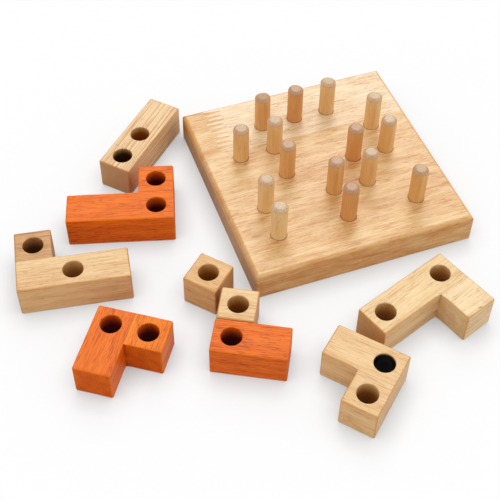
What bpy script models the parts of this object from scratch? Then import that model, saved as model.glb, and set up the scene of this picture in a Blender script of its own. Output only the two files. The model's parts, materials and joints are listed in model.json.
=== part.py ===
# Peg-board block puzzle: an edge-glued board with dowel pegs, and loose bored blocks lying beside it.
# Metres, +Z up. The origin is the centre of the board's underside, rows of pegs run along X.
import math

import bmesh
import bpy
from mathutils import Vector

MM = 0.001

# Blocks
STOCK_SIDE = 22.0 * MM  # square bar the blocks are sawn from, so also a block's height and its cell
BLOCK_EASE = 0.9 * MM  # sanded edges of a block
EASE_STEPS = 2
GLUE_GAP = 0.2 * MM  # glue line between two pieces of wood
BORE_RIM_EASE = 0.4 * MM

# Pegs
PEG_DIAMETER = 10.0 * MM
PEG_STAND = 4.2 * MM  # how far a peg's tip stands above a block pushed home
PEG_TIP_ROUND = 1.4 * MM
PEG_FIT_GAP = 0.3 * MM  # between a peg and its socket, all round and below
PEG_SIDES = 28
TIP_STEPS = 3

# Fit of the blocks on the pegs
BORE_PLAY = 2.2 * MM  # bore diameter over peg diameter
BLOCK_PLAY = 0.8 * MM  # room each cell has on the peg grid
BORE_SIDES = 32

# Board
BOARD_THICKNESS = 20.0 * MM
LEFT_MARGIN = 24.1 * MM  # from the outer pegs' centres to the board's left end
RIGHT_MARGIN = 26.7 * MM
SIDE_MARGIN = 27.0 * MM  # from the outer pegs' centres to its front and back edges
BOARD_EDGE_ROUND = 2.6 * MM
BOARD_CORNER_ROUND = 0.8 * MM  # corners are barely broken in plan
CORNER_LEAST = 0.3 * MM  # corner radius where the round-over has used up the corner
SOCKET_FLOOR = 8.0 * MM  # wood left below a peg's socket
STAVE_JOINT_WALL = 0.9 * MM  # wood between a socket and the stave joint behind it
FINGER_LENGTH = 10.0 * MM
FINGER_PITCH = 4.1 * MM
FINGER_TIP = 0.7 * MM  # blunt end of a finger
FINGER_JOINT_INSET = 19.0 * MM  # from the board's left edge to the middle of the fingers
ROUND_STEPS = 4

# Derived sizes
PEG_PITCH = STOCK_SIDE + BLOCK_PLAY
PEG_RADIUS = PEG_DIAMETER / 2
PEG_HEIGHT = STOCK_SIDE + PEG_STAND
BORE_RADIUS = (PEG_DIAMETER + BORE_PLAY) / 2
SOCKET_RADIUS = PEG_RADIUS + PEG_FIT_GAP
SOCKET_DEPTH = BOARD_THICKNESS - SOCKET_FLOOR
CUT_PAST = BOARD_THICKNESS  # how far a cutter runs past the face it opens

# X marks a peg; the first row is the back one, columns run from left to right.
PEG_ROWS = (".XXX.", "XX..X", ".X.XX", "X.XX.", "X.X.X")
MIDDLE = (len(PEG_ROWS) - 1) / 2
HALF_LENGTH = MIDDLE * PEG_PITCH + (LEFT_MARGIN + RIGHT_MARGIN) / 2  # along the grain, X
GRID_SHIFT = (LEFT_MARGIN - RIGHT_MARGIN) / 2  # of the peg grid from the board's middle
HALF_WIDTH = MIDDLE * PEG_PITCH + SIDE_MARGIN
STAVE_JOINT_ROWS = (1, 2, 4)  # a stave joint runs just behind each of these rows of pegs

# Colours, roughness
RUBBERWOOD = (0.72, 0.48, 0.22, 1.0)
RUBBERWOOD_DARK = (0.66, 0.42, 0.19, 1.0)
DOWEL = (0.67, 0.43, 0.18, 1.0)
DOWEL_DARK = (0.55, 0.29, 0.10, 1.0)
NATURAL = (0.70, 0.49, 0.25, 1.0)
NATURAL_BROWN = (0.56, 0.36, 0.19, 1.0)
ORANGE = (0.75, 0.15, 0.03, 1.0)
LACQUERED = 0.45
SANDED = 0.6
DARK_PEGS = ("peg_A2", "peg_C3", "peg_E2")

# Each block: place of cell (0, 0) in cells from the board's front left corner, turn in degrees,
# the cells of its bar, the cell of the cube glued to it, and the cells that are bored.
BLOCKS = {
    "natural_bar": {
        "place": (-2.163, 5.454), "turn": 43.9, "wood": NATURAL,
        "bar": ((0, 0), (1, 0), (2, 0)), "cube": None, "bores": ((0, 0), (1, 0)),
    },
    "orange_hook": {
        "place": (-3.703, 3.844), "turn": -15.8, "wood": ORANGE,
        "bar": ((0, 0), (1, 0), (2, 0)), "cube": (2, 1), "bores": ((2, 0), (2, 1)),
    },
    "natural_hook": {
        "place": (-5.483, 1.994), "turn": -9.2, "wood": NATURAL,
        "bar": ((0, 0), (1, 0), (2, 0)), "cube": (0, 1), "bores": ((1, 0), (0, 1)),
        "cube_wood": NATURAL_BROWN,
    },
    "orange_corner": {
        "place": (-4.563, -1.046), "turn": -34.1, "wood": ORANGE,
        "bar": ((0, 0), (0, 1)), "cube": (1, 1), "bores": ((0, 1), (1, 1)),
    },
    "natural_cube_1": {
        "place": (-1.153, 0.544), "turn": -48.1, "wood": NATURAL,
        "bar": ((0, 0),), "cube": None, "bores": ((0, 0),),
    },
    "natural_cube_2": {
        "place": (-0.753, -0.697), "turn": -27.9, "wood": NATURAL,
        "bar": ((0, 0),), "cube": None, "bores": ((0, 0),),
    },
    "orange_pair": {
        "place": (-1.243, -1.586), "turn": -27.9, "wood": ORANGE,
        "bar": ((0, 0), (1, 0)), "cube": None, "bores": ((0, 0),),
    },
    "natural_crook": {
        "place": (2.737, -2.176), "turn": 19.5, "wood": NATURAL,
        "bar": ((0, 0), (1, 0), (2, 0)), "cube": (2, -1), "bores": ((0, 0), (2, 0)),
    },
    "natural_corner": {
        "place": (1.407, -2.836), "turn": -48.8, "wood": NATURAL,
        "bar": ((0, 0), (1, 0)), "cube": (1, -1), "bores": ((1, 0), (1, -1)),
    },
}


def clear_scene():
    for thing in list(bpy.data.objects):
        bpy.data.objects.remove(thing, do_unlink=True)


def wood(name, colour, roughness):
    material = bpy.data.materials.new(name)
    material.use_nodes = True
    shader = material.node_tree.nodes["Principled BSDF"]
    shader.inputs["Base Color"].default_value = colour
    shader.inputs["Roughness"].default_value = roughness
    shader.inputs["Metallic"].default_value = 0.0
    material.diffuse_color = colour
    return material


def add_object(name, bm, material=None, parent=None, smooth_angle=None):
    bmesh.ops.recalc_face_normals(bm, faces=bm.faces)
    mesh = bpy.data.meshes.new(name)
    bm.to_mesh(mesh)
    bm.free()
    if smooth_angle is not None:
        mesh.shade_smooth()
        mesh.set_sharp_from_angle(angle=smooth_angle)
    if material is not None:
        mesh.materials.append(material)
    thing = bpy.data.objects.new(name, mesh)
    thing.parent = parent
    bpy.context.scene.collection.objects.link(thing)
    return thing


def add_cutter(name, bm, target, operation="DIFFERENCE"):
    cutter = add_object(name, bm, parent=target.parent, smooth_angle=math.radians(30))
    cutter.hide_render = True
    cutter.display_type = "WIRE"
    cut = target.modifiers.new(name, "BOOLEAN")
    cut.operation = operation
    cut.solver = "EXACT"
    cut.object = cutter
    return cutter


def add_turned(bm, profile, centre, sides):
    # A closed turned solid: one ring of points for each (radius, height) of the profile, and flat ends.
    rings = []
    for radius, height in profile:
        ring = []
        for step in range(sides):
            angle = 2 * math.pi * step / sides
            ring.append(bm.verts.new((
                centre[0] + radius * math.cos(angle),
                centre[1] + radius * math.sin(angle),
                height,
            )))
        rings.append(ring)
    bridge(bm, rings)


def bridge(bm, rings):
    for low, high in zip(rings, rings[1:]):
        count = len(low)
        for step in range(count):
            after = (step + 1) % count
            bm.faces.new((low[step], low[after], high[after], high[step]))
    bm.faces.new(reversed(rings[0]))
    bm.faces.new(rings[-1])


def keep_side(bm, point, normal):
    # Cuts the solid with a plane, drops what lies on the normal's side and closes the cut.
    everything = bm.verts[:] + bm.edges[:] + bm.faces[:]
    cut = bmesh.ops.bisect_plane(
        bm, geom=everything, plane_co=point, plane_no=normal, clear_outer=True, dist=1e-7
    )
    edges = [item for item in cut["geom_cut"] if isinstance(item, bmesh.types.BMEdge)]
    bmesh.ops.edgeloop_fill(bm, edges=edges)


def peg_place(row, column):
    return ((column - MIDDLE) * PEG_PITCH + GRID_SHIFT, (MIDDLE - row) * PEG_PITCH)


def pegs_on_board():
    for row, marks in enumerate(PEG_ROWS):
        for column, mark in enumerate(marks):
            if mark == "X":
                yield "ABCDE"[row] + str(column), peg_place(row, column)


def board_outline(bm, inset, corner, height):
    ring = []
    for quarter, (right, back) in enumerate(((1, 1), (-1, 1), (-1, -1), (1, -1))):
        for step in range(ROUND_STEPS + 1):
            angle = math.radians(90) * (quarter + step / ROUND_STEPS)
            ring.append(bm.verts.new((
                right * (HALF_LENGTH - inset - corner) + corner * math.cos(angle),
                back * (HALF_WIDTH - inset - corner) + corner * math.sin(angle),
                height,
            )))
    return ring


def board_blank():
    # Oblong outline with rounded corners; the top edge is rolled in over a quarter circle.
    bm = bmesh.new()
    rings = [board_outline(bm, 0.0, BOARD_CORNER_ROUND, 0.0)]
    for step in range(ROUND_STEPS + 1):
        angle = math.radians(90) * step / ROUND_STEPS
        inset = BOARD_EDGE_ROUND * (1 - math.cos(angle))
        height = BOARD_THICKNESS - BOARD_EDGE_ROUND * (1 - math.sin(angle))
        corner = max(BOARD_CORNER_ROUND - inset, CORNER_LEAST)
        rings.append(board_outline(bm, inset, corner, height))
    bridge(bm, rings)
    return bm


def stave_joints():
    offset = SOCKET_RADIUS + STAVE_JOINT_WALL
    return [peg_place(row, 0)[1] + offset for row in STAVE_JOINT_ROWS]


def stave_blank(front, back):
    bm = board_blank()
    bmesh.ops.recalc_face_normals(bm, faces=bm.faces)
    if back is not None:
        keep_side(bm, (0, back - GLUE_GAP / 2, 0), (0, 1, 0))
    if front is not None:
        keep_side(bm, (0, front + GLUE_GAP / 2, 0), (0, -1, 0))
    return bm


def finger_cutter(front, side):
    # A slab whose inner edge is the zigzag of blunt fingers, set back by half the glue gap.
    bm = bmesh.new()
    middle = FINGER_JOINT_INSET - HALF_LENGTH
    slope = (FINGER_PITCH / 2 - FINGER_TIP) / FINGER_LENGTH
    set_back = side * GLUE_GAP / 2 * math.sqrt(1 + slope * slope) / slope
    far_edge = side * (HALF_LENGTH + CUT_PAST)
    start = front - FINGER_PITCH
    count = math.ceil((HALF_WIDTH - start) / FINGER_PITCH) + 1
    outline = [(far_edge, start)]
    for finger in range(count):
        y = start + finger * FINGER_PITCH
        for along, end in ((-0.5, -0.5), (-0.5, 0.5), (0.5, -0.5), (0.5, 0.5)):
            outline.append((
                middle + set_back + along * FINGER_LENGTH,
                y + (0.5 + along) * FINGER_PITCH / 2 + end * FINGER_TIP,
            ))
    outline.append((far_edge, outline[-1][1]))
    bottom = [bm.verts.new((x, y, -CUT_PAST)) for x, y in outline]
    top = [bm.verts.new((x, y, BOARD_THICKNESS + CUT_PAST)) for x, y in outline]
    bridge(bm, [bottom, top])
    return bm


def cut_sockets(stave, front, back):
    bm = bmesh.new()
    profile = (
        (SOCKET_RADIUS, BOARD_THICKNESS - SOCKET_DEPTH),
        (SOCKET_RADIUS, BOARD_THICKNESS + CUT_PAST),
    )
    for _, place in pegs_on_board():
        if front < place[1] < back:
            add_turned(bm, profile, place, PEG_SIDES)
    add_cutter("sockets_of_" + stave.name, bm, stave)


def build_board():
    joints = stave_joints()
    light = wood("rubberwood", RUBBERWOOD, LACQUERED)
    dark = wood("rubberwood_dark", RUBBERWOOD_DARK, LACQUERED)
    for name, side, material in (("left", -1, dark), ("right", 1, light)):
        stave = add_object("board_back_stave_" + name, stave_blank(joints[0], None), material)
        add_cutter("fingers_" + name, finger_cutter(joints[0], side), stave, "INTERSECT")
        if side > 0:
            cut_sockets(stave, joints[0], HALF_WIDTH)
    fronts = joints[1:] + [None]
    names = ("board_second_stave", "board_third_stave", "board_front_stave")
    for name, front, back, material in zip(names, fronts, joints, (light, dark, light)):
        stave = add_object(name, stave_blank(front, back), material)
        cut_sockets(stave, -HALF_WIDTH if front is None else front, back)


def build_pegs():
    light = wood("dowel", DOWEL, SANDED)
    dark = wood("dowel_dark", DOWEL_DARK, SANDED)
    foot = BOARD_THICKNESS - SOCKET_DEPTH + PEG_FIT_GAP
    top = BOARD_THICKNESS + PEG_HEIGHT
    tip = min(PEG_TIP_ROUND, PEG_RADIUS / 2)
    profile = [(PEG_RADIUS, foot)]
    for step in range(TIP_STEPS + 1):
        angle = math.radians(90) * step / TIP_STEPS
        profile.append((PEG_RADIUS - tip * (1 - math.cos(angle)), top - tip * (1 - math.sin(angle))))
    for mark, place in pegs_on_board():
        bm = bmesh.new()
        add_turned(bm, profile, (0, 0), PEG_SIDES)
        name = "peg_" + mark
        peg = add_object(name, bm, dark if name in DARK_PEGS else light, None, math.radians(50))
        peg.location = (place[0], place[1], 0)


def block_blank(cells):
    # The cells' squares become one outline, which is raised to the stock's height and eased outside.
    bm = bmesh.new()
    corners = {}
    for column, row in cells:
        square = []
        for across, along in ((0, 0), (1, 0), (1, 1), (0, 1)):
            key = (column + across, row + along)
            if key not in corners:
                corners[key] = bm.verts.new(((key[0] - 0.5) * STOCK_SIDE, (key[1] - 0.5) * STOCK_SIDE, 0))
            square.append(corners[key])
        bm.faces.new(square)
    bmesh.ops.dissolve_limit(bm, angle_limit=math.radians(1), verts=bm.verts[:], edges=bm.edges[:])
    raised = bmesh.ops.extrude_face_region(bm, geom=bm.faces[:])
    lifted = [item for item in raised["geom"] if isinstance(item, bmesh.types.BMVert)]
    bmesh.ops.translate(bm, verts=lifted, vec=(0, 0, STOCK_SIDE))
    bmesh.ops.recalc_face_normals(bm, faces=bm.faces)
    outer = [edge for edge in bm.edges if edge.is_convex]
    bmesh.ops.bevel(
        bm, geom=outer, offset=BLOCK_EASE, segments=EASE_STEPS, profile=0.5, affect="EDGES"
    )
    return bm


def cut_bores(member, cells):
    bm = bmesh.new()
    flare = BORE_RADIUS + BORE_RIM_EASE + CUT_PAST
    profile = (
        (flare, -CUT_PAST),
        (BORE_RADIUS, BORE_RIM_EASE),
        (BORE_RADIUS, STOCK_SIDE - BORE_RIM_EASE),
        (flare, STOCK_SIDE + CUT_PAST),
    )
    for column, row in cells:
        add_turned(bm, profile, (column * STOCK_SIDE, row * STOCK_SIDE), BORE_SIDES)
    add_cutter("bores_of_" + member.name, bm, member)


def glue_face(bar, cube):
    # The middle of the face between the cube and its neighbour in the bar, and the way to the cube.
    for column, row in bar:
        way = Vector((cube[0] - column, cube[1] - row, 0))
        if way.length == 1:
            return Vector((column, row, 0)) * STOCK_SIDE + way * STOCK_SIDE / 2, way
    raise ValueError("the cube has no neighbour in the bar")


def build_block(name, block):
    holder = bpy.data.objects.new(name + "_lift", None)
    corner = Vector((-HALF_LENGTH, -HALF_WIDTH, 0))
    holder.location = corner + Vector((*block["place"], 0)) * STOCK_SIDE
    holder.rotation_euler = (0, 0, math.radians(block["turn"]))
    bpy.context.scene.collection.objects.link(holder)
    bar, cube = block["bar"], block["cube"]
    finish = wood(name + "_wood", block["wood"], SANDED)
    if cube is None:
        whole = add_object(name, block_blank(bar), finish, holder)
        cut_bores(whole, block["bores"])
        return
    point, way = glue_face(bar, cube)
    cube_finish = wood(name + "_cube_wood", block.get("cube_wood", block["wood"]), SANDED)
    members = (("_bar", bar, 1, finish), ("_cube", (cube,), -1, cube_finish))
    for suffix, cells, side, material in members:
        bm = block_blank((*bar, cube))
        keep_side(bm, point - way * side * GLUE_GAP / 2, way * side)
        member = add_object(name + suffix, bm, material, holder)
        bored = [cell for cell in cells if cell in block["bores"]]
        if bored:
            cut_bores(member, bored)


def build():
    clear_scene()
    build_board()
    build_pegs()
    for name, block in BLOCKS.items():
        build_block(name, block)


build()
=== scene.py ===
# Looks of the peg-board block puzzle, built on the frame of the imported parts. Metres, +Z up.
import json
import math

import bmesh
import bpy
import numpy as np
from mathutils import Matrix, Vector


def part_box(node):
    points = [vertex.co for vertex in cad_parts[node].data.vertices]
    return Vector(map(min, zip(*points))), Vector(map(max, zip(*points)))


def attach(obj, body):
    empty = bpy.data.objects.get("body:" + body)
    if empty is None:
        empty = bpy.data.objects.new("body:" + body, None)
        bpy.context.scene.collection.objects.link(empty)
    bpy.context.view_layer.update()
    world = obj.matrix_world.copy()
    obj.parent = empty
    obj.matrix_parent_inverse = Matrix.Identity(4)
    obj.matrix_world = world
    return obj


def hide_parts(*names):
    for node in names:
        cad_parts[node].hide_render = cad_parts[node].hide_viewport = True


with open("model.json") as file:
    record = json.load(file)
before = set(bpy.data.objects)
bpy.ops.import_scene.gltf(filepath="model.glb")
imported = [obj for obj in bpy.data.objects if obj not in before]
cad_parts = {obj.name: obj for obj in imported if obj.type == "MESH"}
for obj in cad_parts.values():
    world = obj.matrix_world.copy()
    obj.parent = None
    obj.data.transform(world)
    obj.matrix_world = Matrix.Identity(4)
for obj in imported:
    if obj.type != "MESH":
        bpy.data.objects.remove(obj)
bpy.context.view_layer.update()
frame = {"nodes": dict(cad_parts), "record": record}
mm = 0.001
print("frame loaded:", len(frame["nodes"]), "nodes")


def linear(hexColour):  # sRGB hex to linear RGBA
    share = np.array([int(hexColour[i:i + 2], 16) / 255 for i in (1, 3, 5)])
    curve = np.where(share <= 0.04045, share / 12.92, ((share + 0.055) / 1.055) ** 2.4)
    return (*curve.tolist(), 1.0)


def addNode(tree, kind, inputs=None, **settings):  # inputs: socket name or number, with a value or a link
    node = tree.nodes.new("ShaderNode" + kind)
    for name, value in settings.items():
        setattr(node, name, value)
    for socket, value in (inputs or {}).items():
        if isinstance(value, bpy.types.NodeSocket):
            tree.links.new(value, node.inputs[socket])
        else:
            node.inputs[socket].default_value = value
    return node


def emptyMaterial(name):
    material = bpy.data.materials.new(name)
    material.use_nodes = True
    material.node_tree.nodes.clear()
    return material, material.node_tree


# Wood: straight hardwood, sawn and sanded. The eye gets soft tone bands along the grain, fine fibre
# lines, long dark streaks, short dashes where the saw opened the vessels, and duller, darker end grain.
# Sizes are in mm; the vessels are really 0.2 mm wide and are drawn wider so that they show.
woodRules = dict(
    flank=(0.75, 0.2), level=(0.92, 0.995),  # upward share of the normal, on a sawn flank and a level face
    endOn=(0.55, 0.9),  # its share along the grain, on end grain
    opened=(0.15, 0.4), openedLeast=0.55,  # the painted light on a round-over is strongest at the grain's ends
    wanderLong=1000 / 12, wanderWide=1000 / 55,  # 12 and 55 waves in a metre
    detail=dict(wander=1.0, ring=2.0, fibre=3.0, band=2.0, streak=1.5, vessel=0.6), noiseRough=0.6,
    noiseMean=0.5, ringMean=0.55, lineSoft=0.14,  # how softly a dark line begins
    crowd=(0.35, 0.6), crowdLeast=0.35,  # pale bands have fewer dark lines
    speck=(0.45, 0.7), fibreRange=(0.3, 0.7),  # noise values of the pores, and of smooth to rough fibres
    rawGloss=0.15, vesselDeep=0.8, bumpStrength=0.35,  # gloss left on raw wood, and depth of a vessel
    ior=1.5,
)


def woodMaterial(name, look, centre, turn, tipped=False):
    rules = woodRules
    material, tree = emptyMaterial(name)
    grain = (0, math.radians(-90), 0) if tipped else (0, 0, turn)  # turns X to lie along the grain
    coords = addNode(tree, "TexCoord")
    place = addNode(tree, "Mapping", {
        "Vector": coords.outputs["Object"], "Location": centre, "Rotation": grain}, vector_type="TEXTURE")
    facing = addNode(tree, "Mapping", {
        "Vector": coords.outputs["Normal"], "Rotation": grain}, vector_type="TEXTURE")
    along = addNode(tree, "SeparateXYZ", {0: facing.outputs[0]})
    rising = addNode(tree, "SeparateXYZ", {0: coords.outputs["Normal"]})
    upright = addNode(tree, "Math", {0: rising.outputs[2]}, operation="ABSOLUTE")
    flank = addNode(tree, "MapRange", {
        0: upright.outputs[0], 1: rules["flank"][0], 2: rules["flank"][1]}, interpolation_type="SMOOTHSTEP")
    endOn = addNode(tree, "Math", {0: along.outputs[0]}, operation="ABSOLUTE")
    endGrain = addNode(tree, "MapRange", {
        0: endOn.outputs[0], 1: rules["endOn"][0], 2: rules["endOn"][1]},
        interpolation_type="SMOOTHSTEP").outputs[0]
    if "roll" in look:  # painted light and shade: the round-over, and the top of a sawn end below it, get a golden tint
        level = addNode(tree, "MapRange", {
            0: upright.outputs[0], 1: rules["level"][0], 2: rules["level"][1]},
            interpolation_type="SMOOTHSTEP")
        slant = addNode(tree, "Math", {0: flank.outputs[0], 1: level.outputs[0]}, operation="ADD")
        rolled = addNode(tree, "Math", {0: 1.0, 1: slant.outputs[0]}, operation="SUBTRACT", use_clamp=True)
        opened = addNode(tree, "MapRange", {
            0: endOn.outputs[0], 1: rules["opened"][0], 2: rules["opened"][1], 3: rules["openedLeast"]})
        rolledEnd = addNode(tree, "Math", {
            0: rolled.outputs[0], 1: opened.outputs[0]}, operation="MULTIPLY")
        rise = addNode(tree, "SeparateXYZ", {0: coords.outputs["Object"]})
        low, high = look["sanded"]
        sanded = addNode(tree, "MapRange", {0: rise.outputs[2], 1: low * mm, 2: high * mm})
        top = addNode(tree, "Math", {0: sanded.outputs[0], 1: endGrain}, operation="MULTIPLY")
        paintedRollLight = addNode(tree, "Math", {0: rolledEnd.outputs[0], 1: top.outputs[0]}, operation="MAXIMUM")
        endGrain = addNode(tree, "Math", {0: endGrain, 1: top.outputs[0]}, operation="SUBTRACT").outputs[0]

    # the grain wanders a few mm over its length
    detail = rules["detail"]
    long, wide = rules["wanderLong"] * mm, rules["wanderWide"] * mm
    slow = addNode(tree, "Mapping", {"Vector": place.outputs[0], "Scale": (1 / long, 1 / wide, 1 / wide)})
    wander = addNode(tree, "TexNoise", {
        "Vector": slow.outputs[0], "Scale": 1.0, "Detail": detail["wander"]})
    reach = look["wander"] * mm
    bent = addNode(tree, "VectorMath", {
        0: wander.outputs["Color"], 1: (0.0, reach, reach), 2: place.outputs[0]}, operation="MULTIPLY_ADD")

    noises = {}
    for key in ("fibre", "band", "streak", "vessel"):
        long, wide = look[key + "Long"] * mm, look[key + "Wide"] * mm
        stretch = addNode(tree, "Mapping", {
            "Vector": bent.outputs[0], "Scale": (1 / long, 1 / wide, 1 / wide)})
        noises[key] = addNode(tree, "TexNoise", {
            "Vector": stretch.outputs[0], "Scale": 1.0, "Detail": detail[key],
            "Roughness": rules["noiseRough"]}).outputs["Fac"]

    # growth rings: uneven lines that follow the distance from the heart of the tree
    heart = addNode(tree, "VectorMath", {
        0: bent.outputs[0], 1: (0.0, look["heart"][0] * mm, look["heart"][1] * mm)}, operation="SUBTRACT")
    across = addNode(tree, "VectorMath", {0: heart.outputs[0], 1: (0.0, 1.0, 1.0)}, operation="MULTIPLY")
    radius = addNode(tree, "VectorMath", {0: across.outputs[0]}, operation="LENGTH")
    rings = addNode(tree, "TexNoise", {
        "W": radius.outputs["Value"], "Scale": 1 / (look["ringGap"] * mm), "Detail": detail["ring"]},
        noise_dimensions="1D")
    middle, edge = rules["ringMean"], look["ringEdge"]
    late = addNode(tree, "MapRange", {0: rings.outputs["Fac"], 1: middle - edge, 2: middle + edge})

    tone = addNode(tree, "Math", {0: late.outputs[0], 1: look["ringShare"], 2: look["depth"]},
                   operation="MULTIPLY_ADD")
    tone = addNode(tree, "Math", {0: flank.outputs[0], 1: look["sideShadeShare"], 2: tone.outputs[0]},
                   operation="MULTIPLY_ADD")  # painted shade: upright faces are drawn darker than the top
    for key in ("fibre", "band"):
        centred = addNode(tree, "Math", {0: noises[key], 1: rules["noiseMean"]}, operation="SUBTRACT")
        tone = addNode(tree, "Math", {
            0: centred.outputs[0], 1: look[key + "Share"], 2: tone.outputs[0]}, operation="MULTIPLY_ADD")
    colour = addNode(tree, "Mix", {
        0: tone.outputs[0], 6: linear(look["pale"]), 7: linear(look["deep"])}, data_type="RGBA").outputs[2]
    if "end" in look:
        cut = addNode(tree, "Math", {0: endGrain, 1: look["endShare"]}, operation="MULTIPLY")
        colour = addNode(tree, "Mix", {
            0: cut.outputs[0], 6: colour, 7: linear(look["end"])}, data_type="RGBA").outputs[2]
    drawn = {}
    for key in ("streak", "vessel"):  # both gather where the band is dark
        start = look[key + "From"]
        line = addNode(tree, "MapRange", {
            0: noises[key], 1: start, 2: start + rules["lineSoft"], 4: look[key + "Share"]},
            interpolation_type="SMOOTHSTEP")
        crowd = addNode(tree, "MapRange", {
            0: noises["band"], 1: rules["crowd"][0], 2: rules["crowd"][1], 3: rules["crowdLeast"], 4: 1.0})
        drawn[key] = addNode(tree, "Math", {0: line.outputs[0], 1: crowd.outputs[0]}, operation="MULTIPLY")
        colour = addNode(tree, "Mix", {
            0: drawn[key].outputs[0], 6: colour, 7: linear(look[key])}, data_type="RGBA").outputs[2]

    # round-over (painted light and shade), worn edges (with a painted highlight), glue line, bore (painted
    # shade), scorch, peg tip (painted shade on the shoulder), crown (painted highlight) and peg foot
    # (painted shadow) each tint the wood
    tints = []
    # painted light and shade on the round-over and on the top of a sawn end
    if "roll" in look:
        tints.append((paintedRollLight.outputs[0], look["rollShare"], look["roll"]))
    for key in ("edge", "seam", "bore", "soot", "tip", "crown", "foot"):
        if key + "Share" in look:
            mark = addNode(tree, "Attribute", attribute_name=key).outputs["Fac"]
            if key == "tip":  # pores of the sanded end grain show as darker specks
                low, high = rules["speck"]
                specks = addNode(tree, "MapRange", {0: noises["streak"], 1: low, 2: high})
                pores = addNode(tree, "Math", {0: mark, 1: specks.outputs[0]}, operation="MULTIPLY")
            tints.append((mark, look[key + "Share"], look[key]))
    if "pore" in look:
        tints.append((pores.outputs[0], look["poreShare"], look["pore"]))
    for mark, share, tint in tints:
        amount = addNode(tree, "Math", {0: mark, 1: share}, operation="MULTIPLY", use_clamp=True)
        colour = addNode(tree, "Mix", {
            0: amount.outputs[0], 6: colour, 7: linear(tint)}, data_type="RGBA").outputs[2]

    low, high = rules["fibreRange"]
    rough = addNode(tree, "MapRange", {
        0: noises["fibre"], 1: low, 2: high, 3: look["rough"][0], 4: look["rough"][1]})
    # bores, end grain and sawn flanks are less polished
    inside = addNode(tree, "Attribute", attribute_name="bore")
    raw = addNode(tree, "Math", {0: endGrain, 1: inside.outputs["Fac"]}, operation="MAXIMUM")
    sawn = addNode(tree, "Math", {0: flank.outputs[0], 1: look["sawn"]}, operation="MULTIPLY")
    dull = addNode(tree, "Math", {0: raw.outputs[0], 1: sawn.outputs[0]}, operation="MAXIMUM")
    gloss = addNode(tree, "MapRange", {
        0: dull.outputs[0], 3: look["gloss"], 4: look["gloss"] * rules["rawGloss"]})
    relief = addNode(tree, "Math", {
        0: drawn["vessel"].outputs[0], 1: -rules["vesselDeep"], 2: noises["fibre"]},
        operation="MULTIPLY_ADD")
    bump = addNode(tree, "Bump", {
        "Height": relief.outputs[0], "Strength": rules["bumpStrength"], "Distance": look["relief"] * mm})
    shader = addNode(tree, "BsdfPrincipled", {
        "Base Color": colour, "Roughness": rough.outputs[0], "Normal": bump.outputs[0],
        "IOR": rules["ior"], "Specular IOR Level": gloss.outputs[0]})
    addNode(tree, "OutputMaterial", {"Surface": shader.outputs[0]})
    return material


# A grid of points, levels by samples, joined into quads; the samples close into rings.
def gridQuads(levels, samples, first=0, closed=False, keep=None):
    rows = np.arange(levels if closed else levels - 1)
    low, at = np.meshgrid(rows, np.arange(samples), indexing="ij")
    high, after = (low + 1) % levels, (at + 1) % samples
    quads = np.stack((low * samples + at, low * samples + after,
                      high * samples + after, high * samples + at), axis=-1)
    chosen = quads.reshape(-1, 4) if keep is None else quads[keep]
    return chosen + first


meshRules = dict(weld=2e-6, sliver=1e-6, sharpFrom=math.radians(40))  # m; edges that turn more stay crisp


def newMesh(name, points, faces, values=None):
    mesh = bpy.data.meshes.new(name)
    mesh.from_pydata(np.asarray(points).reshape(-1, 3).tolist(), [], faces)
    for key, data in (values or {}).items():
        layer = mesh.attributes.new(key, "FLOAT", "POINT")
        layer.data.foreach_set("value", np.asarray(data, np.float32).ravel())
    shell = bmesh.new()
    shell.from_mesh(mesh)
    bmesh.ops.remove_doubles(shell, verts=shell.verts, dist=meshRules["weld"])
    bmesh.ops.dissolve_degenerate(shell, edges=shell.edges, dist=meshRules["sliver"])
    bmesh.ops.recalc_face_normals(shell, faces=shell.faces)
    shell.to_mesh(mesh)
    shell.free()
    mesh.shade_smooth()
    mesh.set_sharp_from_angle(angle=meshRules["sharpFrom"])
    return mesh


def addPiece(name, mesh, material, body, node):
    piece = bpy.data.objects.new(name, mesh)
    bpy.context.scene.collection.objects.link(piece)
    mesh.materials.clear()
    mesh.materials.append(material)
    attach(piece, body)
    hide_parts(node)
    return piece


# Board: five staves of lacquered rubberwood, glued into one panel whose edge was then rounded over
rubberwood = dict(
    pale="#F4D29A", deep="#CC8A3A", streak="#BE7430", vessel="#A5602A", end="#967048", endShare=0.55,
    # roll: painted light and shade on the round-over; the heights after it, in mm, bound a painted
    # highlight on the top of a sawn end
    roll="#D29448", rollShare=0.6, sanded=(14.0, 16.5), depth=0.22, sideShadeShare=0.3,
    fibreLong=30, fibreWide=0.7, fibreShare=1.4, bandLong=24, bandWide=6, bandShare=1.3,
    streakLong=8, streakWide=0.9, streakFrom=0.53, streakShare=0.62,
    vesselLong=3.0, vesselWide=0.45, vesselFrom=0.6, vesselShare=0.6, wander=5.0,
    heart=(30.0, -70.0), ringGap=6.0, ringEdge=0.12, ringShare=0.15,
    rough=(0.34, 0.46), relief=0.05, gloss=0.62, sawn=0.6,
)
boardShape = dict(  # mm, apart from full, fingerUneven and the counts
    roundOver=2.6, full=1.75, roundSteps=12, corner=0.8, leastCorner=0.25, cornerSteps=8, footEase=0.5,
    fingerLong=10.0, fingerPitch=4.1, fingerTip=0.7, fingerInset=19.0, fingerUneven=0.3, fingerSeed=4,
    socketPlay=0.22, socketSides=64,
)
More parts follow.
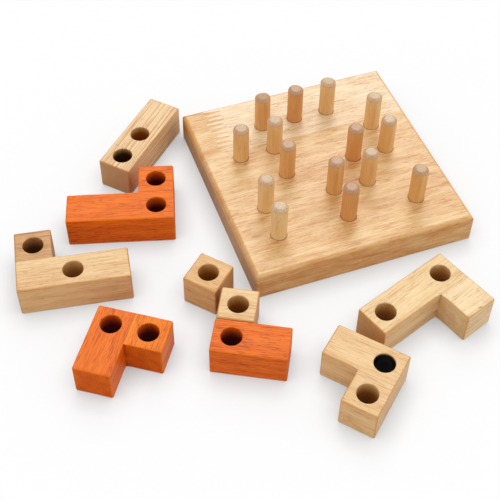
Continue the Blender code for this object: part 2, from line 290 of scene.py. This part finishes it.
staves = {  # what sets each stave apart, and how far its pattern is slid along and across
    "board_back_stave_left": dict(
        look=dict(pale="#F2CF92", depth=0.34, end="#A46F2A", endShare=0.7),
        shift=(0.31, 0.05), slot="rubberwood_dark"),
    "board_back_stave_right": dict(
        look=dict(pale="#F6E0BA", deep="#D8A25A", streakShare=0.4), shift=(0.73, 0.11), slot="rubberwood"),
    "board_second_stave": dict(
        look=dict(depth=0.2, end="#97682E", endShare=0.7), shift=(0.12, 0.27), slot="rubberwood"),
    "board_third_stave": dict(look=dict(depth=0.3), shift=(0.55, 0.39), slot="rubberwood_dark"),
    "board_front_stave": dict(
        look=dict(depth=0.39, sideShadeShare=0.22), shift=(0.91, 0.02), slot="rubberwood"),
}


def boardSkin(halfLong, halfWide, thick):
    # edge profile (inset, height): foot ease, wall, round-over between a quarter circle and a bevel (a
    # superellipse, full = 2 is the circle and 1 the bevel), carried round a rounded oblong
    shape = boardShape
    roll = np.radians(np.linspace(0, 90, shape["roundSteps"] + 1))
    radius = shape["roundOver"] * mm
    power = 2 / shape["full"]
    fall, rise = np.abs(np.cos(roll)) ** power, np.sin(roll) ** power
    inset = np.concatenate(([shape["footEase"] * mm, 0.0], radius * (1 - fall)))
    height = np.concatenate(([0.0, shape["footEase"] * mm], thick - radius * (1 - rise)))
    corner = np.maximum(shape["corner"] * mm - inset, shape["leastCorner"] * mm)
    quarter, step = np.meshgrid(np.arange(4), np.linspace(0, 90, shape["cornerSteps"] + 1), indexing="ij")
    angle, middle = np.radians(quarter * 90 + step).ravel(), np.radians(quarter * 90 + 45).ravel()
    x = np.outer(halfLong - inset - corner, np.sign(np.cos(middle))) + np.outer(corner, np.cos(angle))
    y = np.outer(halfWide - inset - corner, np.sign(np.sin(middle))) + np.outer(corner, np.sin(angle))
    points = np.stack((x, y, np.broadcast_to(height[:, None], x.shape)), axis=-1)
    levels, samples = x.shape
    last = np.arange(samples) + (levels - 1) * samples
    faces = gridQuads(levels, samples).tolist() + [np.arange(samples)[::-1].tolist(), last.tolist()]
    return newMesh("boardSkin", points, faces)


def prism(name, outline, low, high):  # an outline in plan, carried straight up
    count = len(outline)
    ends = [np.column_stack((outline, np.full(count, z))) for z in (low, high)]
    caps = [np.arange(count)[::-1].tolist(), np.arange(count, 2 * count).tolist()]
    return newMesh(name, np.stack(ends), gridQuads(2, count).tolist() + caps)


def fingerLine(front, back, middle):
    # zigzag of blunt fingers from front to back: half the fingers point left, half right, none quite alike
    shape = boardShape
    pitch, tip = shape["fingerPitch"] * mm, shape["fingerTip"] * mm
    count = math.ceil((back - front) / pitch) + 2
    start = front - pitch + pitch * np.arange(count)
    side = np.array((-0.5, -0.5, 0.5, 0.5))
    end = np.array((-0.5, 0.5, -0.5, 0.5))
    y = start[:, None] + (0.5 + side) * pitch / 2 + end * tip
    chance = np.random.default_rng(shape["fingerSeed"])
    cut = 1 + shape["fingerUneven"] * chance.uniform(-1, 1, (count, 2))
    x = middle + side * shape["fingerLong"] * mm * np.repeat(cut, 2, axis=1)
    return np.column_stack((x.ravel(), y.ravel()))


def pegNodes():
    return [name for name in frame["nodes"] if name.startswith("peg_")]


def middleOf(node):
    low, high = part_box(node)
    return (low + high) / 2


def cutBy(name, target, mesh, operation):
    cutter = bpy.data.objects.new(name, mesh)
    bpy.context.scene.collection.objects.link(cutter)
    cut = target.modifiers.new(name, "BOOLEAN")
    cut.operation = operation
    cut.solver = "EXACT"
    cut.object = cutter
    return cutter


def socketCutter(low, high):
    # straight sided holes, one ring of points at each end, for the pegs between two stave joints
    shape = boardShape
    samples = shape["socketSides"]
    angle = np.linspace(0, 2 * math.pi, samples, endpoint=False)
    points, faces = [], []
    for peg in pegNodes():
        bottom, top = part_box(peg)
        centre = (bottom + top) / 2
        if not low < centre.y < high:
            continue
        radius = (top.x - bottom.x) / 2 + shape["socketPlay"] * mm
        first = len(points) * 2 * samples
        ring = np.column_stack((centre.x + radius * np.cos(angle), centre.y + radius * np.sin(angle)))
        points.append(np.stack([np.column_stack((ring, np.full(samples, z))) for z in (bottom.z, top.z)]))
        faces += gridQuads(2, samples, first).tolist()
        foot = np.arange(samples) + first
        faces += [foot[::-1].tolist(), (foot + samples).tolist()]
    return newMesh("sockets", np.array(points), faces) if points else None


def buildBoard():
    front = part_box("board_front_stave")
    halfLong, halfWide, thick = front[1].x, -front[0].y, front[1].z
    joints = [
        (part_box(behind)[0].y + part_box(before)[1].y) / 2 for before, behind in (
            ("board_front_stave", "board_third_stave"), ("board_third_stave", "board_second_stave"),
            ("board_second_stave", "board_back_stave_right"))]
    past = 2 * halfLong
    fingers = fingerLine(joints[2], halfWide, boardShape["fingerInset"] * mm - halfLong)
    spans = {
        "board_front_stave": (-past, joints[0]), "board_third_stave": (joints[0], joints[1]),
        "board_second_stave": (joints[1], joints[2]), "board_back_stave_right": (joints[2], past),
        "board_back_stave_left": (joints[2], past)}
    for name, finish in staves.items():
        low, high = spans[name]
        stave = bpy.data.objects.new("stave", boardSkin(halfLong, halfWide, thick))
        bpy.context.scene.collection.objects.link(stave)
        plank = np.array(((-past, low), (past, low), (past, high), (-past, high)))
        cutters = [cutBy("plank", stave, prism("plank", plank, -thick, 2 * thick), "INTERSECT")]
        if name.startswith("board_back"):
            far = -past if name.endswith("left") else past
            ends = np.array(((far, fingers[-1][1]), (far, fingers[0][1])))
            region = prism("fingers", np.vstack((fingers, ends)), -thick, 2 * thick)
            cutters.append(cutBy("fingers", stave, region, "INTERSECT"))
        sockets = None if name.endswith("left") else socketCutter(low, high)
        if sockets:
            cutters.append(cutBy("sockets", stave, sockets, "DIFFERENCE"))
        shown = bpy.context.evaluated_depsgraph_get()
        mesh = bpy.data.meshes.new_from_object(stave.evaluated_get(shown))
        for spare in (stave, *cutters):
            bpy.data.objects.remove(spare, do_unlink=True)
        mesh.shade_smooth()
        mesh.set_sharp_from_angle(angle=meshRules["sharpFrom"])
        look = dict(rubberwood, **finish["look"])
        material = woodMaterial("lacqueredRubberwood_" + name, look, (*finish["shift"], 0.0), 0.0)
        title = name.replace("board_", "rubberwood_")
        piece = addPiece(title, mesh, material, "board", name)
        flat = piece.modifiers.new("flatFaces", "WEIGHTED_NORMAL")  # keeps broad faces flat to the light
        flat.keep_sharp = True
    print("board built:", len(staves), "staves")


# Pegs: turned dowel, sanded to a blunt tip of greyer end grain; painted shade on its shoulder, a painted
# highlight on its crown, and a painted shadow line at the socket
dowel = dict(
    streak="#B4702E", vessel="#9A5C28", depth=0.35, sideShadeShare=0.0,
    fibreLong=22, fibreWide=0.6, fibreShare=0.9, bandLong=40, bandWide=3.5, bandShare=1.1,
    streakLong=10, streakWide=0.9, streakFrom=0.56, streakShare=0.15,
    vesselLong=3.0, vesselWide=0.45, vesselFrom=0.64, vesselShare=0.35, wander=1.5,
    heart=(14.0, 22.0), ringGap=2.5, ringEdge=0.12, ringShare=0.2,
    rough=(0.4, 0.55), relief=0.05, gloss=0.7, sawn=0.0,
    # tip: greyer end grain with painted shade on the shoulder; crown: a painted highlight; foot: a painted
    # shadow line at the socket
    tipShare=0.75, crownShare=0.62, pore="#A0745A", poreShare=0.45, foot="#643612", footShare=0.65,
)
pegShape = dict(  # mm, apart from tipBulge, footInset and the counts
    tipWide=1.8, tipDeep=2.0, tipFade=0.4, tipBulge=2.0, tipSteps=7, crownRound=0.3,
    sides=64, sideEnd=0.5, sideSteps=8, footUp=0.12, footInset=0.9,
    sag=0.35, wobble=0.12, heartPlay=3.0, seed=7)
pegTones = {  # 0 pale birch, 1 orange brown
    "peg_A1": 0.60, "peg_A2": 0.74, "peg_A3": 0.20, "peg_B0": 0.38, "peg_B1": 0.28, "peg_B4": 0.18,
    "peg_C1": 0.60, "peg_C3": 0.72, "peg_C4": 0.40, "peg_D0": 0.22, "peg_D2": 0.62, "peg_D3": 0.42,
    "peg_E0": 0.10, "peg_E2": 0.84, "peg_E4": 0.58}
pegCrowns = {  # tips whose painted crown highlight is stronger or weaker than most
    "peg_A1": 0.2, "peg_A3": 0.4, "peg_C4": 0.9, "peg_D3": 0.8}
# tip colours carry painted shade on the shoulder, crown colours a painted highlight
dowelTones = dict(
    pale=("#F2D3A0", "#E8B973", "#DC9854"), deep=("#DCB476", "#CA8F49", "#B46D34"),
    tip=("#D0B390", "#BD9676", "#AB8060"), crown=("#F0DFC6", "#E5CCB3", "#D9B8A1"))


def blendTone(three, share):  # between three hex colours, in sRGB
    stops = np.array([[int(c[i:i + 2], 16) for i in (1, 3, 5)] for c in three], float)
    mixed = [np.interp(share, (0, 0.5, 1), stops[:, i]) for i in range(3)]
    return "#" + "".join(f"{int(round(v)):02X}" for v in mixed)


def pegSurface(node, boardTop, chance):
    # profile (radius, height) turned about the peg's axis: straight side, taper that bulges as a parabola,
    # small round, flat crown; the tip is then pushed out of round and tilted by waves round the axis
    shape = pegShape
    low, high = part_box(node)
    radius = (high.x - low.x) / 2
    wide, deep, bend = shape["tipWide"] * mm, shape["tipDeep"] * mm, shape["crownRound"] * mm
    footUp, fade = shape["footUp"] * mm, shape["tipFade"] * mm
    taper = np.linspace(0, 1, shape["tipSteps"])
    roll = np.radians((30, 50, 70, 90))  # rows of the small round
    crown = radius - wide - bend
    crownRows = np.array((0.9, 0.6, 0.3, 0.0))
    sideTop = high.z - deep - shape["sideEnd"] * mm
    side = np.concatenate(([low.z, boardTop - 4 * footUp, boardTop, boardTop + footUp],
                           np.linspace(boardTop + 2 * footUp, sideTop, shape["sideSteps"])))
    spread = np.concatenate((
        [0.0, radius * shape["footInset"]], np.full(len(side), radius),
        radius - wide * taper ** shape["tipBulge"],
        crown + bend * np.cos(roll), crown * crownRows))
    height = np.concatenate((
        [low.z, low.z], side, high.z - deep + (deep - bend) * taper, high.z - bend * (1 - np.sin(roll)),
        np.full(len(crownRows), high.z)))
    angle = np.linspace(0, 2 * math.pi, shape["sides"], endpoint=False)
    # tip mark: greyer end grain, with painted shade on the shoulder
    tipped = np.clip((height - (high.z - deep - fade)) / fade, 0, 1)
    # crown mark: a painted highlight on the flat crown that faces up
    paling = np.interp(spread, (0.9 * crown, crown + bend, crown + 2.5 * bend), (1.0, 0.75, 0.0))
    paintedCrownHighlight = np.where(height > high.z - deep, paling, 0.0)  # fades out over the tip's shoulder
    # foot mark: a painted shadow line where the peg enters the board
    paintedFootShadow = np.interp(height, (boardTop - 4 * footUp, boardTop, boardTop + footUp, boardTop + 2 * footUp),
                       (1.0, 1.0, 0.6, 0.0))
    worn = chance.uniform(-1, 1, (3, 2))  # the sander leaves each tip a little out of round
    waves = sum(worn[i, 0] * np.cos((i + 1) * angle + 3 * worn[i, 1]) for i in range(3))
    out = waves * shape["wobble"] * mm
    ring = spread[:, None] + tipped[:, None] * out[None, :] * (spread > 0)[:, None]
    centre = (low + high) / 2
    tilt = worn[0, 0] * np.cos(angle + worn[1, 1]) * shape["sag"] * mm
    z = height[:, None] - tipped[:, None] * np.abs(tilt[None, :]) * (spread / radius)[:, None]
    points = np.stack((centre.x + ring * np.cos(angle), centre.y + ring * np.sin(angle), z), axis=-1)
    marks = {key: np.repeat(mark[:, None], len(angle), axis=1)
             for key, mark in (("tip", tipped), ("crown", paintedCrownHighlight), ("foot", paintedFootShadow))}
    return newMesh(node, points, gridQuads(len(height), len(angle)).tolist(), marks)


def buildPegs():
    chance = np.random.default_rng(pegShape["seed"])
    play = pegShape["heartPlay"]
    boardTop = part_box("board_front_stave")[1].z
    for node in sorted(pegNodes()):
        share = pegTones[node]
        look = dict(dowel, **{key: blendTone(three, share) for key, three in dowelTones.items()})
        look["crownShare"] = pegCrowns.get(node, dowel["crownShare"])
        centre = middleOf(node)
        aside = chance.uniform(-play, play), chance.uniform(-play, play)
        heart = (centre.x + aside[0] * mm, centre.y + aside[1] * mm, centre.z)
        material = woodMaterial("birchDowel_" + node, look, heart, 0.0, tipped=True)
        mesh = pegSurface(node, boardTop, chance)
        addPiece(node.replace("peg_", "dowel_"), mesh, material, "board", node)
    print("pegs built:", len(pegTones))


# Blocks: square stock, bored through, edges eased by hand; cubes are glued to the side of their bar. The
# natural ones are sanded hardwood; the orange ones are stained, which goes darkest into the open grain.
naturalWood = dict(
    pale="#EEC992", deep="#C88A46", streak="#BC7430", vessel="#A45E28", end="#A36C38", endShare=0.5,
    # depth is the base tone; the share after it is painted shade on upright faces
    depth=0.2, sideShadeShare=0.14,
    fibreLong=40, fibreWide=0.6, fibreShare=1.1, bandLong=50, bandWide=7, bandShare=0.8,
    streakLong=14, streakWide=0.65, streakFrom=0.54, streakShare=0.6,
    vesselLong=4.0, vesselWide=0.5, vesselFrom=0.62, vesselShare=0.75, wander=4.0,
    heart=(18.0, -40.0), ringGap=4.0, ringEdge=0.12, ringShare=0.12,
    rough=(0.38, 0.52), relief=0.05, gloss=0.55, sawn=0.6,
    # bore: painted shade, the bore wall darker and browner with depth
    # edge: a tint along each eased edge, part wear and part painted highlight
    edge="#C88A3A", edgeShare=0.7, seam="#8A5A2C", seamShare=0.3, bore="#B07014", boreShare=1.0,
    soot="#100A06", sootShare=1.0, slot="natural_block",
)
stripedWood = dict(
    naturalWood, pale="#EECE9C", end="#8A6A4A", depth=0.1, sideShadeShare=0.0, vesselShare=0.9,
    heart=(60.0, -62.0), ringGap=0.85, ringEdge=0.06, ringShare=0.7,
    # bore: stronger painted shade in the bore
    wander=2.0, streakLong=40, streakWide=0.6, streakShare=0.8, bore="#A65A00", boreShare=1.8)
paleWood = dict(naturalWood, pale="#F2D29C", depth=0.16, boreShare=0.8)
palestWood = dict(
    naturalWood, pale="#F6DBAC", deep="#D09C58", endShare=0.25, depth=0.16, sideShadeShare=0.1,
    streakShare=0.45)
lightBoreWood = dict(naturalWood, boreShare=0.65)
goldenWood = dict(naturalWood, pale="#EABE80", depth=0.26)
paleEndWood = dict(naturalWood, end="#D6B48E", sideShadeShare=0.12)
brownWood = dict(
    naturalWood, pale="#DEAA6C", deep="#9C5E2C", streak="#84461C", vessel="#6A3414", end="#86502A",
    # bore: painted shade
    # edge: part wear, part painted highlight
    depth=0.3, streakFrom=0.5, streakShare=0.75, wander=7.0, edge="#C88A48", bore="#7A4210",
    slot="natural_block_brown")
orangeWood = dict(
    naturalWood, pale="#F87C10", deep="#CA4400", streak="#9C2600", vessel="#842000",
    end="#B84004", endShare=0.35,
    streakLong=9, streakWide=0.5, streakFrom=0.51, streakShare=0.65, wander=6.0,
    # bore: painted shade, darker deeper in
    # edge: a lighter tint along each eased edge, part wear and part painted highlight
    edge="#F4862A", edgeShare=0.3, seam="#8E2C02", seamShare=0.6, bore="#6E1400", gloss=0.24,
    slot="orange_stain")
orangePaleWood = dict(orangeWood, pale="#FC8A1C", depth=0.12, sideShadeShare=0.34)
orangeRedWood = dict(orangeWood, pale="#F67E1E", depth=0.24, end="#C24E14")
blockShape = dict(  # mm, apart from fadeRun, wallRow, boreRows and wobble, which are shares, and the counts
    ease=1.0, glueLine=0.03, fadeRun=0.16, sideSteps=12, cornerSteps=4, easeSteps=5, hold=0.35,
    wallRow=0.35, boreRadius=6.1, boreRows=(0.08, 0.92), boreSteps=6, rimEase=0.6, rimSteps=3,
    wobble=0.18, boreShadeFrom=9.0, seed=23)
blocks = {  # turn in degrees, cells of the bar, cell of the glued cube, bored cells as the record lists
    # them; soot gives how black a scorched bore is, and the depth in mm from which it is
    "natural_bar": dict(turn=43.9, bar=((0, 0), (1, 0), (2, 0)), bores=((0, 0), (1, 0)), wood=stripedWood,
                        soot={(0, 0): (0.85, 4.0)}),
    "orange_hook": dict(turn=-15.8, bar=((0, 0), (1, 0), (2, 0)), cube=(2, 1), bores=((2, 0), (2, 1)),
                        wood=orangeWood),
    "natural_hook": dict(turn=-9.2, bar=((0, 0), (1, 0), (2, 0)), cube=(0, 1), bores=((1, 0), (0, 1)),
                         wood=lightBoreWood, cubeWood=brownWood),
    "orange_corner": dict(turn=-34.1, bar=((0, 0), (0, 1)), cube=(1, 1), bores=((0, 1), (1, 1)),
                          wood=orangeRedWood, cubeWood=orangePaleWood, grain=90),
    "natural_cube_1": dict(turn=-48.1, bar=((0, 0),), bores=((0, 0),), wood=goldenWood),
    "natural_cube_2": dict(turn=-27.9, bar=((0, 0),), bores=((0, 0),), wood=naturalWood),
    "orange_pair": dict(turn=-27.9, bar=((0, 0), (1, 0)), bores=((0, 0),), wood=orangeRedWood),
    "natural_crook": dict(turn=19.5, bar=((0, 0), (1, 0), (2, 0)), cube=(2, -1), bores=((0, 0), (2, 0)),
                          wood=paleWood, cubeWood=palestWood),
    "natural_corner": dict(turn=-48.8, bar=((0, 0), (1, 0)), cube=(1, -1), bores=((1, 0), (1, -1)),
                           wood=paleEndWood, soot={(1, 0): (1.0, 1.2)}),
}
sideWays = np.array(((0, -1), (1, 0), (0, 1), (-1, 0)))  # front, right, back and left side of a cell


def beside(cell, side):
    return (cell[0] + int(sideWays[side][0]), cell[1] + int(sideWays[side][1]))


def cellOutline(cell, member, whole, side, chance):
    # Round the cell, side after side: inset point, outward way, ease radius and what the side is.
    # An open side is eased, a glued one is flat, a joined one has no wall. The ease runs out where
    # the glued neighbour stands proud, so inner corners stay crisp.
    shape = blockShape
    ease, low = shape["ease"] * mm, shape["glueLine"] * mm / 2
    steps, turns = shape["sideSteps"], shape["cornerSteps"]
    kinds, ends = [], []
    for s in range(4):
        kind = "joined" if beside(cell, s) in member else "glued" if beside(cell, s) in whole else "open"
        kinds.append(kind)
        if kind != "open":
            ends.append((low, low) if kind == "glued" else (0.0, 0.0))
            continue
        nearby = [beside(cell, n % 4) for n in (s - 1, s + 1)]
        proud = [other in whole and beside(other, s) in whole for other in nearby]
        ends.append(tuple(low if p else ease for p in proud))
    u = np.linspace(0, 1, steps + 1)
    points, ways, radii, seams, walls, arrises = [], [], [], [], [], []
    corners = np.array(((-0.5, -0.5), (0.5, -0.5), (0.5, 0.5), (-0.5, 0.5))) * side
    for s in range(4):
        out, onward = sideWays[s].astype(float), sideWays[(s + 1) % 4].astype(float)
        first, last = ends[s - 1][1], ends[(s + 1) % 4][0]
        along = first + (side - first - last) * u
        if kinds[s] == "open":
            rise = np.minimum(u / shape["fadeRun"], 1), np.minimum((1 - u) / shape["fadeRun"], 1)
            inset = np.minimum(ends[s][0] + (ease - ends[s][0]) * rise[0],
                               ends[s][1] + (ease - ends[s][1]) * rise[1])
            sway = shape["wobble"] * np.sin(math.pi * u)  # eased by hand, so a little uneven
            inset = inset * (1 + sway * np.sin(5 * u + chance.uniform(0, 6)))
            radius = np.maximum(inset - low, 0)
        else:
            inset, radius = np.full(steps + 1, ends[s][0]), np.zeros(steps + 1)
        edge = corners[s] + np.outer(along, onward) - np.outer(inset, out)
        rounded = kinds[s] == "open" and kinds[(s + 1) % 4] == "open"
        bend = np.radians(90) * np.arange(1, turns) / turns * rounded
        points += [edge, np.repeat(edge[-1:], turns - 1, axis=0)]
        ways += [np.repeat(out[None], steps + 1, axis=0),
                 np.outer(np.cos(bend), out) + np.outer(np.sin(bend), onward)]
        arrises += [np.zeros(steps + 1), np.sin(2 * bend)]
        radii += [radius, np.repeat(radius[-1:], turns - 1)]
        seams.append(np.full(steps + turns, float(kinds[s] == "glued")))
        cornerWall = "joined" not in (kinds[s], kinds[(s + 1) % 4])
        walls += [np.full(steps, kinds[s] != "joined"), np.full(turns, cornerWall)]
    centre = np.array(cell) * side
    lists = [np.concatenate(each) for each in (radii, seams, walls, arrises)]
    return (np.vstack(points) + centre, np.vstack(ways), *lists, centre)


def cellSurface(cell, member, whole, side, bored, soot, chance):
    # levels by samples: out over the top face, down the eased wall, in under the foot, and back up the bore
    shape = blockShape
    rim, ways, radius, seam, walls, arris, centre = cellOutline(cell, member, whole, side, chance)
    reach = rim + ways * radius[:, None] - centre
    angle = np.arctan2(reach[:, 1], reach[:, 0])
    spoke = np.column_stack((np.cos(angle), np.sin(angle)))
    hole, rimEase = shape["boreRadius"] * mm, shape["rimEase"] * mm
    start = centre + spoke * (hole + rimEase) * bored
    share = np.array((0.0, 0.05, 0.3, 0.65, 0.95))  # rows of points from the bore's rim to the eased edge
    face = start + share[:, None, None] * (rim - start)
    roll = np.radians(np.linspace(0, 90, shape["easeSteps"] + 1))[:, None]
    easedXy = rim + ways * (radius * np.sin(roll))[..., None]
    easedDrop = radius * (1 - np.cos(roll))
    hold = shape["hold"] * mm
    wallRow = np.full_like(radius, side * shape["wallRow"])
    wallDrop = np.stack((radius + hold, wallRow, np.full_like(radius, side / 2)))
    wallXy = np.repeat((rim + ways * radius[:, None])[None], 3, axis=0)
    upperXy = np.concatenate((face, easedXy, wallXy))
    upperDrop = np.concatenate((np.zeros((len(share), len(radius))), easedDrop, wallDrop))
    upper = np.dstack((upperXy, side - upperDrop))
    lower = np.dstack((upperXy[-2::-1], upperDrop[-2::-1]))
    parts = [upper, lower]
    if bored:
        curl = np.radians(np.linspace(0, 90, shape["rimSteps"] + 1))[1:]
        uncurl = curl[-2::-1]
        straight = np.linspace(*shape["boreRows"], shape["boreSteps"]) * side
        ring = np.concatenate((
            rimEase * (1 - np.sin(curl)), np.zeros_like(straight), rimEase * (1 - np.sin(uncurl))))
        rise = np.concatenate((
            rimEase * (1 - np.cos(curl)), straight, side - rimEase * (1 - np.cos(uncurl))))
        boreXy = centre + spoke * (hole + ring)[:, None, None]
        parts.append(np.dstack((boreXy, np.repeat(rise[:, None], len(radius), axis=1))))
    points = np.concatenate(parts)
    levels, samples = points.shape[:2]
    faceLevels, outer = len(share), 2 * (len(easedXy) + len(wallXy)) - 1
    row = np.arange(levels)
    onWall = (row >= faceLevels) & (row < faceLevels + outer - 1)
    keep = np.ones((levels if bored else levels - 1, samples), bool)
    keep[onWall[:len(keep)]] = walls
    shell = len(upper) + len(lower)
    inBore = row >= shell
    drop = np.where(inBore[:, None], side - points[..., 2], 0)
    bead = np.zeros(levels)  # 1 along the middle of each eased edge
    bead[faceLevels:faceLevels + len(easedXy)] = np.sin(2 * roll[:, 0])
    bead[:shell] = np.maximum(bead[:shell], bead[:shell][::-1])
    # the edge tint's mask: part wear, part painted highlight along each eased edge
    eased = np.maximum(bead[:, None] * (radius > 0), onWall[:, None] * arris)
    onSeam = ((row >= faceLevels) & ~inBore & (row < faceLevels + outer))[:, None] * seam
    # bore: painted shade inside each bore, growing with depth below the rim
    values = dict(
        edge=eased, seam=onSeam, bore=np.clip(drop / (shape["boreShadeFrom"] * mm), 0, 1),
        soot=soot[0] * np.clip(drop / (soot[1] * mm), 0, 1))
    return points, gridQuads(levels, samples, closed=bored, keep=keep), values


def memberMesh(name, cells, whole, block, side, chance):
    points, quads, values, first = [], [], {}, 0
    for cell in cells:
        soot = block.get("soot", {}).get(cell, (0.0, 1.0))
        grid, faces, marks = cellSurface(cell, cells, whole, side, cell in block["bores"], soot, chance)
        points.append(grid.reshape(-1, 3))
        quads.append(faces + first)
        first += len(points[-1])
        for key, data in marks.items():
            values.setdefault(key, []).append(np.asarray(data, float).ravel())
    turn = np.array(Matrix.Rotation(math.radians(block["turn"]), 3, "Z"))
    placed = np.concatenate(points) @ turn.T + np.array(block["place"])
    joined = {key: np.concatenate(data) for key, data in values.items()}
    return newMesh(name, placed, np.concatenate(quads).tolist(), joined)


def blockPlace(name, block, side):  # the first bore in the record, less its cell's place in the block
    bore = next(o for o in frame["record"]["physics"]["openings"] if o["name"] == name + "_bore_1")
    low, high = np.array(bore["box_m"])
    middle = (low + high) / 2
    turn = np.array(Matrix.Rotation(math.radians(block["turn"]), 3, "Z"))
    return np.array((middle[0], middle[1], 0.0)) - turn @ np.array((*block["bores"][0], 0.0)) * side


def buildBlocks():
    chance = np.random.default_rng(blockShape["seed"])
    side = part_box("natural_bar")[1].z
    for name, block in blocks.items():
        block["place"] = blockPlace(name, block, side)
        cube = block.get("cube")
        whole = (*block["bar"], cube) if cube else block["bar"]
        members = [("_bar" if cube else "", block["bar"], block["wood"])]
        if cube:
            members.append(("_cube", (cube,), block.get("cubeWood", block["wood"])))
        for suffix, cells, wood in members:
            node = name + suffix
            mesh = memberMesh(node, cells, whole, block, side, chance)
            turn = math.radians(block["turn"] + block.get("grain", 0))
            slide = chance.uniform(0, 1)  # along the grain, so that no two pieces show the same pattern
            shift = Vector(block["place"]) + slide * Vector((math.cos(turn), math.sin(turn), 0))
            material = woodMaterial("sandedWood_" + node, wood, shift, turn)
            addPiece("wood_" + node, mesh, material, name, node)
    print("blocks built:", len(blocks))


# Stage: white paper under a white dome, with soft lamps behind, to the right and to the left
stageLook = dict(
    floor="#FBFBFC", bounce="#CFCDCB", dome=0.72, size=12.0,
    paper="#FEFEFE", lift=0.74,  # plain white that eases the shadows, and its share
    touch=0.015, touchPower=0.6)  # reach of a contact shadow in m; a lower power is fainter
lamps = {  # way to the lamp, strength in W/m2, spread in degrees
    "backLamp": dict(way=(0.30, 0.75, 0.9), strength=0.85, spread=34),
    "rightLamp": dict(way=(1.0, -0.35, 0.6), strength=0.5, spread=60),
    "leftLamp": dict(way=(-1.0, -0.3, 0.5), strength=0.4, spread=60),
}


def seenStraight(tree):  # 1 for what the camera, a reflection or a look through glass sees
    path = addNode(tree, "LightPath")
    either = addNode(tree, "Math", {
        0: path.outputs["Is Camera Ray"], 1: path.outputs["Is Glossy Ray"]}, operation="MAXIMUM")
    return addNode(tree, "Math", {
        0: either.outputs[0], 1: path.outputs["Is Transmission Ray"]}, operation="MAXIMUM")


def buildStage():
    reach = stageLook["size"] / 2
    corners = [(-reach, -reach, 0), (reach, -reach, 0), (reach, reach, 0), (-reach, reach, 0)]
    sheet = bpy.data.meshes.new("floor")
    sheet.from_pydata(corners, [], [(0, 1, 2, 3)])
    floor = bpy.data.objects.new("floor", sheet)
    bpy.context.scene.collection.objects.link(floor)
    material, tree = emptyMaterial("whitePaper")  # white to the eye, greyer for the light it throws back
    seen = seenStraight(tree)
    thrown, shown = linear(stageLook["bounce"]), linear(stageLook["floor"])
    paper = addNode(tree, "Mix", {0: seen.outputs[0], 6: thrown, 7: shown}, data_type="RGBA")
    matt = addNode(tree, "BsdfDiffuse", {"Color": paper.outputs[2]})
    near = addNode(tree, "AmbientOcclusion", {"Distance": stageLook["touch"]})
    shade = addNode(tree, "Math", {0: near.outputs["AO"], 1: stageLook["touchPower"]}, operation="POWER")
    glow = addNode(tree, "Emission", {"Color": linear(stageLook["paper"]), "Strength": shade.outputs[0]})
    lift = addNode(tree, "Math", {0: seen.outputs[0], 1: stageLook["lift"]}, operation="MULTIPLY")
    both = addNode(tree, "MixShader", {0: lift.outputs[0], 1: matt.outputs[0], 2: glow.outputs[0]})
    addNode(tree, "OutputMaterial", {"Surface": both.outputs[0]})
    sheet.materials.append(material)

    world = bpy.data.worlds.new("studio")
    bpy.context.scene.world = world
    world.use_nodes = True
    sky = world.node_tree
    sky.nodes.clear()
    seen = seenStraight(sky)
    dome = addNode(sky, "Background", {"Color": (1, 1, 1, 1), "Strength": stageLook["dome"]})
    white = addNode(sky, "Background", {"Color": (1, 1, 1, 1), "Strength": 1.0})
    both = addNode(sky, "MixShader", {0: seen.outputs[0], 1: dome.outputs[0], 2: white.outputs[0]})
    addNode(sky, "OutputWorld", {"Surface": both.outputs[0]})

    for name, lamp in lamps.items():
        light = bpy.data.lights.new(name, "SUN")
        light.energy = lamp["strength"]
        light.angle = math.radians(lamp["spread"])
        holder = bpy.data.objects.new(name, light)
        holder.rotation_mode = "QUATERNION"
        holder.rotation_quaternion = Vector(lamp["way"]).to_track_quat("Z", "Y")
        bpy.context.scene.collection.objects.link(holder)
    bpy.context.scene.view_settings.view_transform = "Standard"
    print("stage lit by", len(lamps), "lamps")


# Camera: fitted to the photograph, with a little downward shift and roll; mm and degrees
cameraFit = dict(place=(-206.3, -426.5, 509.8), heading=20.27, tilt=48.08, roll=0.75, lens=76.6, shift=-0.1)


def buildCamera():
    heading, tilt, roll = (math.radians(cameraFit[key]) for key in ("heading", "tilt", "roll"))
    lens = bpy.data.cameras.new("camera")
    lens.lens = cameraFit["lens"]
    lens.shift_y = cameraFit["shift"]
    lens.clip_start = 0.01
    camera = bpy.data.objects.new("camera", lens)
    turned = Matrix.Rotation(-heading, 4, "Z") @ Matrix.Rotation(math.radians(90) - tilt, 4, "X")
    turned = turned @ Matrix.Rotation(roll, 4, "Z")
    camera.matrix_world = Matrix.Translation(Vector(cameraFit["place"]) * mm) @ turned
    bpy.context.scene.collection.objects.link(camera)
    bpy.context.scene.camera = camera
    print("camera placed")


buildCamera()
buildStage()
buildBoard()
buildPegs()
buildBlocks()
